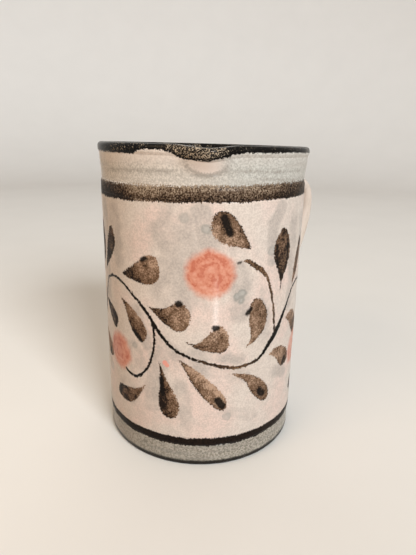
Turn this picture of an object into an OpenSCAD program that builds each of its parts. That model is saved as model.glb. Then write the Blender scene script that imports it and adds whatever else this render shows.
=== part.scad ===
// Small straight-sided stoneware jug-mug with a pulled pouring lip and a pulled strap handle.
// The origin is the middle of the foot, Z points up and X points along the handle.

/* [Body] */
// Height from the table to the rim
body_height = 111; // [103:1:128]
// Diameter over the bare clay wall
body_diameter = 74; // [68:1:90]
// Thickness of the wall below its thinned top
wall_thickness = 5; // [4:0.1:6.5]
// Thickness of the flat-topped rim
rim_thickness = 4; // [3:0.1:5]
// Radius of the rim's two rounded edges
rim_rounding = 1; // [0.5:0.1:1.4]
// How far the rim flares out past the straight wall
rim_flare = 0.6; // [0:0.1:1.5]

/* [Base] */
// Thickness of the slab that the wall stands on
base_thickness = 9; // [7:0.5:12]
// Radius of the rounded edge at the foot
foot_radius = 1.2; // [0.6:0.1:2.5]
// Radius of the hollow left by the coil in the inside corner
coil_radius = 6; // [3:0.5:9]

/* [Pouring lip] */
// Turn from the handle to the lip, clockwise seen from above
lip_turn = 135; // [90:0.5:180]
// Width of the lip along the rim
lip_width = 22; // [14:0.5:28]
// How far the lip is drawn out of the rim
lip_reach = 3.5; // [1:0.1:6]
// How far the lip's edge is drawn down below the rim
lip_dip = 0.8; // [0:0.1:2]
// Bare wall between the shoulder band and the foot of the lip's throat
throat_gap = 2; // [1:0.1:4]

/* [Handle] */
// Drop from the rim to the middle of the upper root
upper_root_drop = 24.7; // [21:0.1:30]
// Height between the middles of the two roots
root_spacing = 44; // [38:0.5:52]
// How far the upper end of the strap is pulled straight out before it bends
upper_pull_out = 41; // [34:0.5:50]
// How far that pull rises
upper_pull_rise = 25; // [12:0.5:30]
// How far the lower end of the strap is pulled straight out before it bends
lower_pull_out = 31; // [24:0.5:40]
// How far that pull rises
lower_pull_rise = 18.5; // [12:0.5:28]
// Width of the strap below the upper root
upper_strap_width = 18; // [14:0.5:22]
// Width of the strap above the lower root
lower_strap_width = 15; // [12:0.5:20]
// Thickness of the strap
strap_thickness = 7; // [5:0.1:9]
// Depth of the thumb groove along the back of the strap
groove_depth = 0.9; // [0:0.1:1.5]
// Width of the upper root
upper_root_width = 25; // [20:0.5:30]
// Thickness of the strap at the upper root
upper_root_thickness = 12; // [9:0.5:15]
// Width of the lower root
lower_root_width = 20; // [16:0.5:26]
// Thickness of the strap at the lower root
lower_root_thickness = 10; // [8:0.5:13]

/* [Slip and glaze] */
// Thickness of the joining slip under each root
slip_thickness = 0.8; // [0.5:0.1:1.5]
// How far the joining slip is squeezed out round a root
slip_squeeze = 1.2; // [0.5:0.1:2]
// Thickness of the brushed coats
coat_thickness = 0.3; // [0.2:0.05:0.6]
// Drop from the rim to the top of the shoulder band
shoulder_drop = 12.1; // [10:0.1:16]
// Width of the shoulder band
shoulder_width = 4.3; // [3:0.1:6]
// Width of the foot band
foot_band_width = 2.9; // [2:0.1:5]
// How far the foot band reaches down over the seam of the base
seam_cover = 0.3; // [0.2:0.1:1]
// Drop from the rim to the outer edge of the rim glaze
rim_glaze_drop = 2.8; // [1.8:0.1:5]
// Extra drop of that edge on the lip
lip_glaze_drop = 1; // [0:0.1:3]
// Drop from the rim to the inner edge of the rim glaze
inner_glaze_drop = 7; // [4:0.5:8]

/* [Hidden] */
$fn = 96;

// Body levels and radii
outer_radius = body_diameter / 2;
inner_radius = outer_radius - wall_thickness;
// Centres of the rim's two rounded edges
rim_outer_centre = outer_radius - rim_rounding;
rim_inner_centre = outer_radius - rim_thickness + rim_rounding;
rim_z = body_height - rim_rounding;
// The wall is straight up to the shoulder band, and flares and thins above it
shoulder_top_z = body_height - shoulder_drop;
flare_height = rim_z - shoulder_top_z;
lip_z = shoulder_top_z + throat_gap;
lip_height = body_height - lip_z;
inner_glaze_z = body_height - inner_glaze_drop;

// Turns round the body, fine at the lip and coarse elsewhere, counted from the lip
lip_half_turn = lip_width / 2 / outer_radius * 180 / PI;
lip_steps = 16;
wall_steps = 56;
wall_step = (360 - 2 * lip_half_turn) / wall_steps;
turns = concat(
    [for (i = [0:lip_steps - 1]) lip_half_turn * (2 * i / lip_steps - 1)],
    [for (i = [0:wall_steps - 1]) lip_half_turn + wall_step * i]
);

// Rows of the wall's profile
throat_steps = 6;
edge_steps = 2;
rounding_steps = 3;

// Ends and pulls of the strap, as [out from the axis, height]
upper_root_z = body_height - upper_root_drop;
lower_root_z = upper_root_z - root_spacing;
strap_ends = [
    [outer_radius, upper_root_z],
    [outer_radius + upper_pull_out, upper_root_z + upper_pull_rise],
    [outer_radius + lower_pull_out, lower_root_z + lower_pull_rise],
    [outer_radius, lower_root_z]
];
strap_steps = 30;
section_steps = 20;
// Shares of the strap's run over which the roots thicken
upper_blend_share = 0.3;
lower_blend_share = 0.26;
// How square the strap's section is: 1 is an ellipse
section_share = 0.72;
// How far the strap runs into the wall before its end is cut to the wall's curve
root_sink = wall_thickness;
upper_lean = atan2(upper_pull_rise, upper_pull_out);
lower_lean = atan2(lower_pull_rise, lower_pull_out);

// Levels of the coats
shoulder_bottom_z = shoulder_top_z - shoulder_width;
foot_band_bottom_z = base_thickness - seam_cover;
foot_band_top_z = foot_band_bottom_z + foot_band_width;

arc_steps = 8;

// 0 to 1 with a soft start and end
function smooth(share) =
    let (s = min(1, max(0, share)))
    s * s * (3 - 2 * s);

function reversed(list) = [for (i = [len(list) - 1:-1:0]) list[i]];

function steps(from, to, count) = [for (i = [0:count]) from + (to - from) * i / count];

// How strongly the lip is pulled at a turn counted from its middle
function lip_swell(turn) =
    let (away = min(abs(turn), 360 - abs(turn)))
    away < lip_half_turn ? pow(cos(90 * away / lip_half_turn), 2) : 0;

// A point of the turned profile, drawn out and down where the lip is pulled
function wall_point(turn, radius, z) =
    let (
        pull = lip_swell(turn) * smooth((z - lip_z) / lip_height),
        out = radius + rim_flare * smooth((z - shoulder_top_z) / flare_height) + lip_reach * pull,
        bearing = turn - lip_turn
    )
    [out * cos(bearing), out * sin(bearing), z - lip_dip * pull];

// Inside radius of the wall, which thins towards the rim
function inside_at(z) =
    inner_radius + (wall_thickness - rim_thickness) * smooth((z - shoulder_top_z) / flare_height);

// Height of the rim glaze's outer edge at a turn
function glaze_edge(turn) = body_height - rim_glaze_drop - lip_glaze_drop * lip_swell(turn);

// A rounded edge of the rim between two angles, raised by a coat's thickness
function rim_edge(centre, from, to, coat) = [
    for (a = steps(from, to, rounding_steps))
        [centre + (rim_rounding + coat) * cos(a), rim_z + (rim_rounding + coat) * sin(a)]
];

// The rim from the glaze's outer edge over the flat top to its inner edge, raised by a coat's thickness
function rim_path(turn, coat) = concat(
    [for (z = steps(glaze_edge(turn), rim_z, edge_steps)) if (z < rim_z) [outer_radius + coat, z]],
    rim_edge(rim_outer_centre, 0, 90, coat),
    rim_edge(rim_inner_centre, 90, 180, coat),
    [for (z = steps(rim_z, inner_glaze_z, edge_steps)) if (z < rim_z) [inside_at(z) - coat, z]]
);

// The whole wall's profile at a turn: up the outside, over the rim and down the inside
function wall_path(turn) =
    let (throat = steps(shoulder_top_z, glaze_edge(turn), throat_steps))
    concat(
        [[outer_radius, base_thickness]],
        [for (i = [0:throat_steps - 1]) [outer_radius, throat[i]]],
        rim_path(turn, 0),
        [for (z = steps(inner_glaze_z, shoulder_top_z, edge_steps)) if (z < inner_glaze_z) [inside_at(z), z]],
        [[inner_radius, base_thickness]]
    );

function ring_at(turn, path) = [for (p = path) wall_point(turn, p[0], p[1])];

// Triangles between neighbouring rings of equal length
function ring_faces(ring_count, size, closed) = [
    for (i = [0:ring_count - (closed ? 1 : 2)], j = [0:size - 1])
        let (
            a = i * size + j,
            b = i * size + (j + 1) % size,
            c = ((i + 1) % ring_count) * size + j,
            d = ((i + 1) % ring_count) * size + (j + 1) % size
        )
        each [[a, b, c], [b, d, c]]
];

// A closed ring of profiles round the axis
module turned_skin(rings) {
    polyhedron(
        points = [for (ring = rings) each ring],
        faces = ring_faces(len(rings), len(rings[0]), true)
    );
}

// A run of sections with a flat cap at both ends
module swept_skin(rings) {
    size = len(rings[0]);
    last = (len(rings) - 1) * size;
    polyhedron(
        points = [for (ring = rings) each ring],
        faces = concat(
            [[for (j = [size - 1:-1:0]) j]],
            [[for (j = [0:size - 1]) last + j]],
            ring_faces(len(rings), size, false)
        )
    );
}

// Middle line of the strap, and its heading
function strap_middle(t) =
    pow(1 - t, 3) * strap_ends[0] + 3 * t * pow(1 - t, 2) * strap_ends[1]
    + 3 * t * t * (1 - t) * strap_ends[2] + pow(t, 3) * strap_ends[3];

function strap_heading(t) =
    let (
        way = pow(1 - t, 2) * (strap_ends[1] - strap_ends[0])
            + 2 * t * (1 - t) * (strap_ends[2] - strap_ends[1])
            + t * t * (strap_ends[3] - strap_ends[2])
    )
    way / norm(way);

// Strength of each root's thickening along the strap
function upper_swell(t) = smooth(1 - t / upper_blend_share);
function lower_swell(t) = smooth(1 - (1 - t) / lower_blend_share);

function strap_width(t) =
    let (plain = upper_strap_width + (lower_strap_width - upper_strap_width) * t)
    plain + (upper_root_width - plain) * upper_swell(t) + (lower_root_width - plain) * lower_swell(t);

function strap_depth(t) =
    strap_thickness + (upper_root_thickness - strap_thickness) * upper_swell(t)
    + (lower_root_thickness - strap_thickness) * lower_swell(t);

function swollen(x) = sign(x) * pow(abs(x), section_share);

// Outline of the strap's section, one unit to each side
function unit_section() = [
    for (i = [0:section_steps - 1])
        let (a = 360 * i / section_steps)
        [swollen(cos(a)), swollen(sin(a))]
];

// One section of the strap, moved along its heading by a shift
function strap_ring(t, shift) =
    let (
        way = strap_heading(t),
        back = [-way[1], way[0]],
        middle = strap_middle(t) + shift * way,
        groove = groove_depth * (1 - upper_swell(t)) * (1 - lower_swell(t))
    )
    [for (p = unit_section())
        let (
            across = p[0] * strap_width(t) / 2,
            hollow = p[1] > 0 ? groove * pow(cos(90 * p[0]), 2) : 0,
            raised = p[1] * strap_depth(t) / 2 - hollow,
            place = middle + raised * back
        )
        [place[0], across, place[1]]
    ];

// Outline of a root on the round wall, as [across, height]
function root_outline(width, thickness, lean, squeeze) = [
    for (p = unit_section())
        let (
            across = p[0] * (width / 2 + squeeze),
            fall = outer_radius - sqrt(pow(outer_radius, 2) - pow(across, 2))
        )
        [across, p[1] * (thickness / 2 / cos(lean) + squeeze) - fall * tan(lean)]
];

// A tube between two radii and two levels
module sleeve(inside, outside, bottom, top) {
    translate([0, 0, bottom])
        linear_extrude(height = top - bottom)
            difference() {
                circle(r = outside);
                circle(r = inside);
            }
}

// A root's outline driven through the wall towards the handle
module root_prism(z, width, thickness, lean) {
    translate([0, 0, z])
        rotate([90, 0, 90])
            linear_extrude(height = body_diameter)
                polygon(root_outline(width, thickness, lean, slip_squeeze));
}

module upper_root_prism() {
    root_prism(upper_root_z, upper_root_width, upper_root_thickness, upper_lean);
}

module lower_root_prism() {
    root_prism(lower_root_z, lower_root_width, lower_root_thickness, lower_lean);
}

// A coat brushed round the outside, left open where the handle is joined
module brushed_coat(bottom, top) {
    difference() {
        sleeve(outer_radius, outer_radius + coat_thickness, bottom, top);
        upper_root_prism();
        lower_root_prism();
    }
}

// Flat slab with a rounded foot edge
module base_slab() {
    color([0.66, 0.63, 0.58])
        rotate_extrude()
            polygon(concat(
                [[0, 0]],
                [for (a = steps(-90, 0, arc_steps))
                    [outer_radius + foot_radius * (cos(a) - 1), foot_radius * (sin(a) + 1)]],
                [[outer_radius, base_thickness], [0, base_thickness]]
            ));
}

// Straight thrown wall with its flared rim and pulled pouring lip
module wall() {
    color([0.72, 0.69, 0.65])
        turned_skin([for (turn = turns) ring_at(turn, wall_path(turn))]);
}

// Coil smoothed into the corner between the floor and the wall
module base_coil() {
    corner = inner_radius * cos(wall_step / 2);
    color([0.70, 0.67, 0.62])
        rotate_extrude()
            polygon(concat(
                [[corner, base_thickness]],
                [for (a = steps(0, -90, arc_steps))
                    [corner + coil_radius * (cos(a) - 1), base_thickness + coil_radius * (sin(a) + 1)]]
            ));
}

// Pulled strap, its ends cut to the curve of the wall and its joining slip
module handle() {
    color([0.86, 0.79, 0.73])
        difference() {
            swept_skin(concat(
                [strap_ring(0, -root_sink)],
                [for (t = steps(0, 1, strap_steps)) strap_ring(t, 0)],
                [strap_ring(1, root_sink)]
            ));
            cylinder(h = body_height, r = outer_radius + slip_thickness);
        }
}

module upper_root_slip() {
    color([0.78, 0.72, 0.66])
        intersection() {
            sleeve(outer_radius, outer_radius + slip_thickness, 0, body_height);
            upper_root_prism();
        }
}

module lower_root_slip() {
    color([0.78, 0.72, 0.66])
        intersection() {
            sleeve(outer_radius, outer_radius + slip_thickness, 0, body_height);
            lower_root_prism();
        }
}

// Dark glaze over the rim, running lower on the lip
module rim_glaze() {
    color([0.17, 0.13, 0.11])
        turned_skin([
            for (turn = turns)
                ring_at(turn, concat(rim_path(turn, coat_thickness), reversed(rim_path(turn, 0))))
        ]);
}

module shoulder_band() {
    color([0.33, 0.21, 0.15])
        brushed_coat(shoulder_bottom_z, shoulder_top_z);
}

// Pale slip that carries the painted scroll
module ground_slip() {
    color([0.90, 0.82, 0.76])
        brushed_coat(foot_band_top_z, shoulder_bottom_z);
}

module foot_band() {
    color([0.16, 0.13, 0.12])
        brushed_coat(foot_band_bottom_z, foot_band_top_z);
}

base_slab();
wall();
base_coil();
handle();
upper_root_slip();
lower_root_slip();
rim_glaze();
shoulder_band();
ground_slip();
foot_band();
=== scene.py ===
import math
from functools import cached_property, reduce

import bpy
import numpy as np
from mathutils import Matrix, Vector


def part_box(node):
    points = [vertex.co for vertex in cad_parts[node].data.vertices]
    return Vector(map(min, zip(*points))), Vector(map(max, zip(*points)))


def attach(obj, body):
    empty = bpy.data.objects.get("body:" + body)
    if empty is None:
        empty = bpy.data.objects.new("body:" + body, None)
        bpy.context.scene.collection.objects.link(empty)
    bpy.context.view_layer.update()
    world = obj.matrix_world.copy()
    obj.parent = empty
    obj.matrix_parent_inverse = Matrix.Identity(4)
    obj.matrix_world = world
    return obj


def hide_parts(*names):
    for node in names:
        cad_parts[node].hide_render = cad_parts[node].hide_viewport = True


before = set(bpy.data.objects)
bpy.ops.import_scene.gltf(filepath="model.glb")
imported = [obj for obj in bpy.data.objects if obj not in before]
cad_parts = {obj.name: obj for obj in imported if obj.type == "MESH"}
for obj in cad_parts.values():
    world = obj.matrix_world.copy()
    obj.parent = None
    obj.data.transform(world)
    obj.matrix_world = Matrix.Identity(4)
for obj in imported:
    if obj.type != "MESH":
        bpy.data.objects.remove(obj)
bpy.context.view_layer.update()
scene = bpy.context.scene

# Lengths are written in millimetres and angles in degrees, unless a comment says otherwise
MM = 0.001


def node_box(node):
    """Lowest and highest corner of a CAD node, in millimetres."""
    low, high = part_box(node)
    return np.array(low) / MM, np.array(high) / MM


# Levels and radii, from the frame
_, RADIUS, SEAM_Z = node_box("base_slab")[1]
TOP_Z = node_box("wall")[1][2]
COAT = node_box("ground_slip")[1][1] - RADIUS
FOOT_LINE_LOW, FOOT_LINE_TOP = (corner[2] for corner in node_box("foot_band"))
SHOULDER_LOW, SHOULDER_TOP = (corner[2] for corner in node_box("shoulder_band"))
GLAZE_INSIDE_Z = node_box("rim_glaze")[0][2]
_, COIL_OUT, COIL_TOP = node_box("base_coil")[1]
COAT_RADIUS = RADIUS + COAT

# Wall, rim and pouring lip, as the source gives them
WALL_THICKNESS = 5.0
RIM_THICKNESS = 4.0
RIM_FLARE = 0.6
RIM_ROUNDING = 1.0
FOOT_RADIUS = 1.2
LIP_BEARING = -135.0
LIP_WIDTH = 22.0
LIP_REACH = 3.5
LIP_DIP = 0.8
THROAT_GAP = 2.0
RIM_OUTER_CENTRE = RADIUS - RIM_ROUNDING
RIM_INNER_CENTRE = RADIUS - RIM_THICKNESS + RIM_ROUNDING
RIM_Z = TOP_Z - RIM_ROUNDING
FLARE_HEIGHT = RIM_Z - SHOULDER_TOP
LIP_Z = SHOULDER_TOP + THROAT_GAP
LIP_HEIGHT = TOP_Z - LIP_Z
LIP_HALF_TURN = math.degrees(LIP_WIDTH / 2 / RADIUS)

# Pulled strap of the handle, as the source gives it, with the upper end before the lower one
ROOT_LEVELS = (86.3, 42.3)
ROOT_PULLS = ((40.8, 25.0), (31.0, 18.5))
ROOT_WIDTHS = (25.0, 20.0)
ROOT_THICKNESSES = (12.0, 10.0)
BLEND_SHARES = (0.3, 0.26)
STRAP_WIDTHS = (18.0, 15.0)
STRAP_THICKNESS = 7.0
GROOVE_DEPTH = 0.9
SECTION_SHARE = 0.72

# The photograph's viewpoint: the camera stands at this bearing, and marks are placed from there
FRONT_BEARING = -136.5
VIEW_TURN = math.radians(FRONT_BEARING + 90)
CAMERA_AWAY = 175.2
CAMERA_HEIGHT = 114.25
CAMERA_PITCH, CAMERA_YAW, CAMERA_ROLL = (math.radians(turn) for turn in (17.375, -0.799, 1.139))
FOCAL_PIXELS = 461.8
IMAGE_PIXELS = 555
SENSOR_WIDTH = 36.0
NEAREST_SEEN = 10.0

# Lamps: place, target, size, watts and tint. Places are right, away and up, as the camera stands.
KEY_PLACE = (1730, -3200, 1900)
LAMPS = {
    "key": (KEY_PLACE, (0, 0, TOP_Z / 2), (1600, 1600), 194.0, (0.95, 0.98, 1.0)),
    "fill": ((-230, -220, 330), (-25, -25, 80), (200, 200), 0.46, (1.0, 0.72, 0.45)),
    "strip": ((36, -140, 15), (5, -37, 45), (11, 30), 0.009, (1.0, 1.0, 1.0)),
}
# Light of the surroundings, as linear values: on the camera's side, and behind the mug
NEAR_LIGHT = (0.28, 0.24, 0.196, 1.0)
FAR_LIGHT = (1.9, 1.8, 1.66, 1.0)
# Floor: hole at its middle, radius of its flat part, and radius of the sweep up to the backdrop
FLOOR_HOLE = 0.5
FLOOR_FLAT = 900.0
FLOOR_SWEEP = 520.0

# Painted scroll, placed by [along the wall from the front line, height].
# It comes round three times, and the front repeat is the one that the photograph shows.
GIRTH = 2 * math.pi * COAT_RADIUS
REPEAT_SHIFTS = np.array([(0.0, 0.0), (80.0, -2.6), (GIRTH - 78.6, 0.4)])
BACK_JOINT_SHIFT = (GIRTH - 74.6, 0.4)
# Leaf: tone from tan to black, contrast, angle of its darker side, outline from the tip round to the tip,
# and any dark touches, given by their ends and width
LEAVES = {
    "above_bloom": (0.36, 0.5, 60, [
        (16, 79.5), (13.4, 85), (9.8, 90.2), (6.8, 91.9), (3.7, 91), (2.5, 87.4), (3.8, 83.5), (8, 81.3),
    ], ((6.6, 89.8), (8.5, 85.1), 2.6)),
    "upright": (0.84, 0.3, 250, [
        (30, 62.1), (29.4, 67.9), (25.8, 74.8), (25.6, 79.9), (27.5, 83.6), (29.7, 85.1), (32.7, 82.9),
        (34.6, 77.4), (33.7, 71.6), (31, 67),
    ], ((32.7, 81), (33.2, 74), 1.3), ((26.8, 79.5), (27.3, 73.8), 1.3)),
    "upper_left": (0.44, 0.7, 215, [
        (-30.4, 68.6), (-25.7, 71.8), (-20.7, 75.1), (-17.9, 77), (-15.1, 76.3), (-13.8, 72.5),
        (-14.2, 69.2), (-18.1, 66.9), (-24, 67.3),
    ], ((-20.4, 75), (-19.1, 75.7), 1.8)),
    "left_of_dip": (0.32, 0.3, 230, [
        (-18.8, 59.6), (-14.5, 59.4), (-10.9, 60.4), (-7.6, 62.3), (-4.4, 60.5), (-3.3, 57.3),
        (-4.9, 53.2), (-7.9, 52.1), (-12, 54.2), (-16, 57.7),
    ], ((-7.6, 61.8), (-7, 61.9), 2.3)),
    "in_dip": (0.34, 0.4, 235, [
        (-5.4, 48.8), (-1.9, 48.1), (1.3, 50.3), (4.2, 53.4), (6.7, 54.3), (9, 51.5), (9.4, 47.4),
        (7.1, 44.8), (3.1, 45.2), (-1.6, 46.5),
    ], ((4.5, 53.8), (5.1, 53.8), 2.2)),
    "right_of_dip": (0.24, 0.3, 20, [
        (15.3, 45.4), (19.6, 47.8), (23, 51.6), (24, 56.2), (21.9, 61), (18.9, 62.8), (16.6, 60.7),
        (16.3, 55.5), (17.2, 49.2),
    ], ((16.9, 59.4), (15.6, 57.9), 1.7)),
    "low_right": (0.18, 0.5, 300, [
        (25.9, 40.4), (29, 41.7), (33.2, 41.5), (38.3, 38.3), (39.4, 34.3), (36, 32.6), (33, 33.8),
        (30, 37.6),
    ], ((36.2, 35.4), (35.6, 34), 2.2)),
    "third_drop": (0.28, 0.3, 250, [
        (9.8, 36.7), (15.8, 35.7), (22.1, 32.4), (26.5, 27.1), (26.3, 23), (23, 23.1), (18.4, 28.1),
        (16.1, 32.4), (12.6, 35.1),
    ], ((22.4, 27.2), (23.7, 25.8), 2.8)),
    "second_drop": (0.14, 0.5, 218, [
        (-7.3, 42), (-1.3, 38.5), (4.3, 33.3), (8.5, 28.1), (9.3, 24.3), (7.4, 22.6), (2.8, 26.1),
        (-2.1, 32.4), (-5.5, 38.8),
    ], ((6.2, 26.8), (7.8, 24.5), 2.8)),
    "first_drop": (0.74, 0.9, 190, [
        (-14.7, 40.6), (-12.4, 35.7), (-9.3, 29.7), (-7.1, 24.4), (-8.1, 20.2), (-10.5, 18.8),
        (-13.7, 21), (-14.8, 25.2), (-14.1, 31.3), (-14.2, 37),
    ], ((-13.6, 34.1), (-13, 27.8), 1.8), ((-12.1, 27.4), (-11.6, 24.8), 0.9)),
    "crescent": (0.72, 0.5, 170, [
        (-19.9, 29.9), (-23.6, 27.3), (-27.9, 26.2), (-33.9, 25.2), (-33.9, 25.2), (-35.7, 21.6),
        (-32.4, 19.7), (-27.3, 20.3), (-23.3, 24),
    ], ((-33.8, 24.5), (-33.8, 22.2), 1.6)),
    "left_drop": (0.44, 0.7, 225, [
        (-31.5, 60.2), (-25.6, 57.7), (-21.1, 54), (-18.9, 49.8), (-20.5, 46.1), (-23.9, 47.2),
        (-26.7, 51), (-28.6, 56.2),
    ], ((-24.6, 49.2), (-21.4, 46.4), 1.7)),
}
# Leaves between two repeats: those of the left joint, which the back joint has too, and of the right one
LEFT_JOINT_LEAVES = [
    (0.95, 0.4, 200, [
        (-43.9, 66.7), (-36.8, 73.4), (-34, 78.2), (-35.2, 82.7), (-37.3, 83.7), (-40.5, 78.7),
        (-42.7, 72.1),
    ]),
    (1, 0.3, 215, [
        (-44.6, 56.2), (-39, 55.1), (-35.1, 53.1), (-33.8, 50.3), (-35.2, 47.3), (-37.4, 47.3),
        (-40.2, 50),
    ]),
]
RIGHT_JOINT_LEAVES = [
    (0.55, 0.3, 20, [
        (38.6, 63.4), (39.6, 69.5), (41.2, 75), (44, 80), (46, 79), (46, 73), (42.5, 66.5),
    ]),
    (0.45, 0.5, 300, [
        (34.7, 51.7), (38.4, 53.3), (42, 52.8), (46.8, 48.6), (48.8, 43.6), (44.6, 42.2), (40.9, 45.6),
        (38.4, 48.9),
    ]),
]
# Brush lines: along, height, width, and dryness of the brush from black to broken brown
VINE = [
    (-41.8, 63.5, 1, 0.1), (-39, 65.4, 1, 0.1), (-35.9, 66.4, 1, 0.1), (-30.9, 65.7, 1, 0.1),
    (-27.8, 64.2, 1, 0.1), (-24.4, 61.9, 1, 0.1), (-21.2, 59.6, 1.1, 0.1), (-17.6, 55.8, 1.2, 0.1),
    (-15.1, 52.2, 1.3, 0), (-12.5, 49, 1.1, 0), (-9, 45.6, 1.1, 0.2), (-5.6, 43.9, 1.1, 0.3),
    (-2, 42.4, 1.1, 0.4), (4.2, 40.5, 1.2, 0.4), (11.2, 38.7, 1.2, 0.6), (14.9, 38.8, 1.2, 0.6),
    (18.3, 39.3, 1.2, 0.5), (21.3, 40.4, 1.3, 0.4), (23.7, 42.5, 1.5, 0.2), (26, 45.2, 1.9, 0),
    (28.1, 47.2, 2.3, 0), (30.2, 50.1, 2.1, 0), (32.2, 52.8, 1.7, 0),
]
BRANCH = [
    (28.1, 47.5, 1.1, 0.4), (27.5, 53.1, 1, 0.6), (26.9, 57.7, 1, 0.7), (25.5, 62.7, 1, 0.7),
    (24.2, 66.9, 1, 0.7), (22.3, 70.3, 1.2, 0.8), (20.6, 72, 1.8, 0.8), (18.5, 73.4, 1.8, 0.6),
    (16.3, 74.9, 1.6, 0.7), (13.9, 76.3, 1, 0.8),
]
SCROLL = [
    (-17.4, 56, 0.8, 0), (-16.5, 53.7, 1.1, 0), (-16.1, 50, 1.1, 0), (-16, 46.7, 1, 0),
    (-16.7, 42.9, 1, 0), (-17.9, 38.9, 1, 0), (-20.1, 35.2, 1, 0), (-23.5, 32.1, 1.1, 0),
    (-26, 31.8, 1, 0), (-28.3, 32.4, 0.8, 0.1), (-29.9, 33.5, 0.6, 0.2),
]
# Blossoms, and buds at the front only: middle and radius
BLOOMS = [((2.7, 71.9), 8.6), ((-33.4, 38.9), 7.4)]
BUDS = [((-12.2, 40.2), 1), ((-11.5, 39.4), 0.9)]
# Dark touches beside the leaves: ends and width
OTHER_TOUCHES = [((11.6, 75.4), (12.7, 75.6), 0.9)]
# Thin grey washes: ends, width and strength
WASHES = [
    ((-0.3, 90.9), (1.4, 83.3), 7, 0.9), ((1.5, 83.3), (9, 79.8), 5, 0.6),
    ((28.5, 91.8), (24, 87), 5, 0.8), ((24, 87), (24.6, 75), 5, 0.95),
    ((-34.6, 88.7), (-31.4, 73.6), 7, 0.8), ((12, 71.8), (13, 58.7), 8, 0.8),
    ((-14.1, 47.6), (0, 38.2), 6, 0.75), ((0, 38.2), (16.1, 35.6), 5, 0.6),
    ((-14.1, 41.6), (-17.6, 27.5), 8, 0.75), ((-3.5, 44.5), (14.1, 42), 4.5, 0.7),
    ((30.5, 32.4), (36.9, 29.1), 5, 0.9), ((-9.1, 83.8), (-8, 66.7), 18, 0.7),
    ((-6.8, 32.6), (-4.2, 18.5), 6, 0.55), ((-23.2, 57.6), (-18.6, 45.6), 5, 0.7),
    ((22.1, 63.7), (23.7, 47.6), 6, 0.6), ((-25.7, 43.5), (-21.6, 37.5), 6, 0.65),
    ((-30.3, 25.3), (-18.1, 23.5), 9, 0.4), ((36.5, 89.7), (37.1, 57.5), 6, 0.7),
    ((10.1, 21.5), (20.2, 18.5), 5, 0.4),
]
# Small grey blots: middle, radius and strength
BLOTS = [
    ((-5.6, 89.7), 1.5, 0.4), ((1.2, 86.4), 1.6, 0.7), ((11.6, 64), 1.4, 0.9), ((13.6, 65.1), 1.5, 0.9),
    ((13.2, 62.6), 1.3, 0.9), ((9.5, 20.1), 1.5, 0.5), ((-24.4, 43.8), 1.1, 0.5),
    ((24.4, 78.2), 1.8, 0.5),
]
# Soft grey turning lines of the neck, drawn down under the lip: along, height and width
NECK_LINES = [
    [
        (-5.6, 106.9, 0.6), (-5, 105.6, 0.9), (-3.7, 104.1, 1.2), (-1.3, 102.9, 1.4), (1, 102.4, 1.5),
        (3.4, 102.7, 1.4), (5.6, 103.9, 1), (7, 105.8, 0.6),
    ],
    [(-38, 102.4, 0.6), (-30, 102.9, 0.9), (-18, 103.2, 0.9), (-8, 103.4, 0.6)],
    [(5.5, 103.6, 0.6), (14, 103.8, 0.9), (25, 103.4, 0.7), (40, 103.4, 0.7)],
    [(16, 101.6, 0.5), (28.4, 100.6, 0.8), (40.4, 100.4, 0.7), (70, 101.6, 0.5)],
    [(90, 103.6, 0.6), (120, 102.6, 0.9), (150, 103.2, 0.6)],
]
# Rim glaze: bearing from the front line, drop of its lower edge from the rim, and how thin it ran
RIM_GLAZE = [
    (-180, 2.6, 0.3), (-150, 2.1, 0.4), (-120, 2.8, 0.3), (-90, 2.5, 0.3), (-58, 2.8, 0.25),
    (-34.5, 2.9, 0.35), (-29, 1.4, 0.3), (-18.5, 1.5, 0.3), (-15, 2.2, 0.4), (-11.5, 3.2, 0.6),
    (-8, 3.6, 0.7), (3, 3.7, 0.7), (5, 3.2, 0.6), (8, 2.9, 0.6), (13, 2.3, 0.4), (15, 1.9, 0.3),
    (30, 1.7, 0.2), (56, 1.5, 0.2), (90, 2, 0.4), (120, 2.7, 0.5), (150, 2.3, 0.3), (180, 2.6, 0.3),
]
# Shoulder band: bearing from the front line, darkness of the brush with a painted reflection in it, and rise
# of the stroke
SHOULDER_STROKE = [
    (-180, 0.4, 0), (-120, 0.6, -0.5), (-80, 1.1, -0.8), (-50, 1.1, -0.8), (-42, 0.7, -0.6),
    # The low darkness at -34 to -25 is a painted reflection on the band
    (-34, 0.1, -0.4), (-25, 0.1, -0.2), (-20, 0.4, -0.1), (0, 0.35, 0.2), (20, 0.35, 0.3), (36, 0.5, 0.5),
    (48, 0.8, 0.5), (70, 0.9, 0.4), (110, 0.5, 0.2), (150, 0.7, 0), (180, 0.4, 0),
]

# Reach of the painted fields to each side of a stroke's edge
LINE_REACH = 1.5
LAYER_REACHES = {"leaf": 3.0, "touch": 1.5, "vine": LINE_REACH, "bloom": 8.0, "bud": 1.5, "blot": 3.0}
GLAZE_REACH = 3.0
FAR = 99.0
# Steps along leaf outlines, brush lines and neck lines, and stamps of a short stroke
OUTLINE_STEP, LINE_STEP, NECK_STEP = 0.7, 0.25, 0.4
STROKE_STAMPS = 24
# Leaves whose middle lies this near to a root of the handle are left out
ROOT_MARGIN = 3.0

# Finish of the thrown clay: the rim sinks a little towards the back and the right of the photograph
RIM_SINK_BACK = 1.1
RIM_SINK_RIGHT = 0.6
FINGER_PITCH = 8.5
FINGER_DEPTH = 0.15
FLOOR_SPIRAL_PITCH = 5.0
FLOOR_SPIRAL_DEPTH = 0.25
# Waves of the wall: depth, waves in one turn, radians for each millimetre of height, and start in radians
WALL_WAVES = [(0.09, 2, 0.0, 0.7), (0.05, 1, 1 / 5.3, 0.0), (0.03, -2, 1 / 2.1, 0.0)]

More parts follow.
